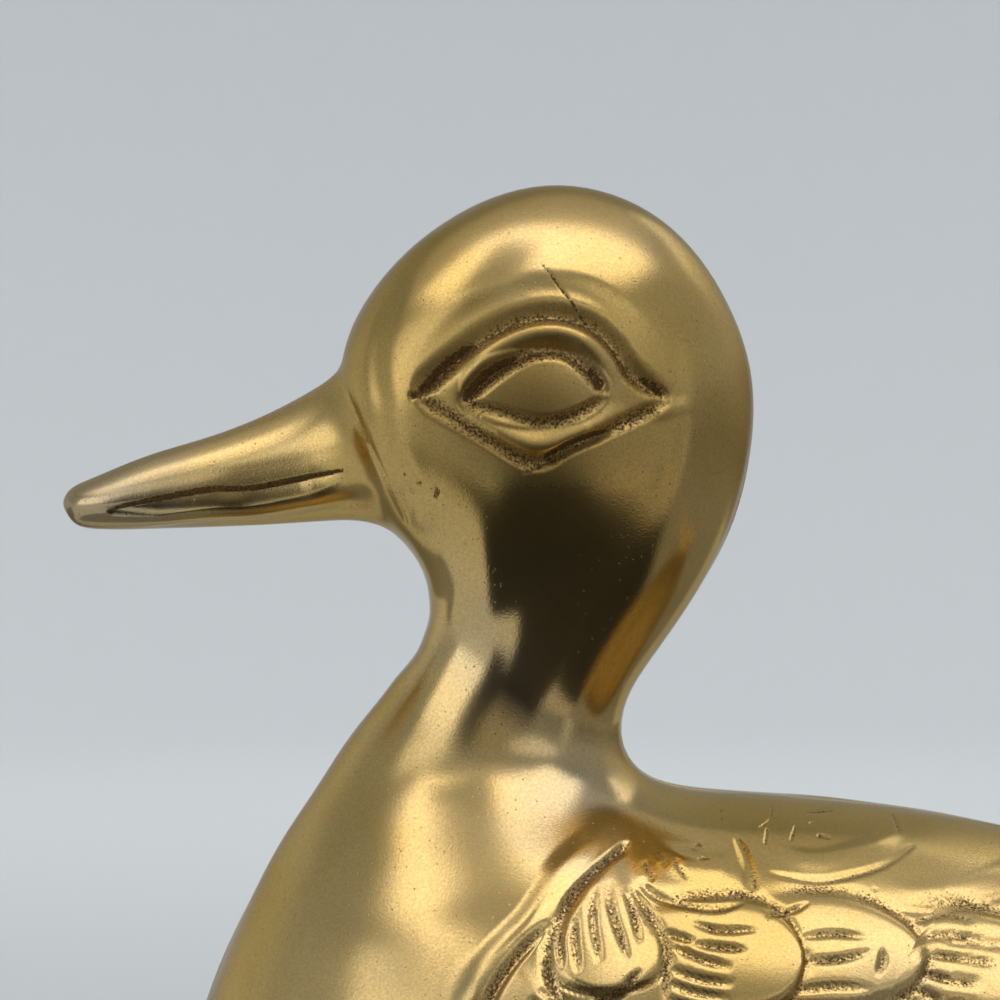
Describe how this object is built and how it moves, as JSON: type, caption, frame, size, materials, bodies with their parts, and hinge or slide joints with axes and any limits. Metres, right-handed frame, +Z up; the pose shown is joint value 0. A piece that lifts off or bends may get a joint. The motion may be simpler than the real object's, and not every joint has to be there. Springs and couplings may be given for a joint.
{
  "type": "brass duck figurine",
  "caption": "Hollow cast brass duck with an upright neck, almond eyes, long bill and folded feathered wings, standing on a flat ground rim.",
  "frame": {"origin": "middle of the figurine's box in plan, on the surface that it stands on", "axes": "-X the way the duck faces, +Z up, -Y the duck's left side"},
  "size_m": [0.164, 0.0662, 0.1231],
  "materials": {
    "cast_brass": "sand cast, filed and polished, aged dark in the chiselled grooves",
    "brazing_brass": "brazed joint, filed flush and polished, slightly paler"
  },
  "bodies": {
    "root": {"left_casting": "cast_brass", "right_casting": "cast_brass", "brazed_seam": "brazing_brass"}
  },
  "joints": []
}
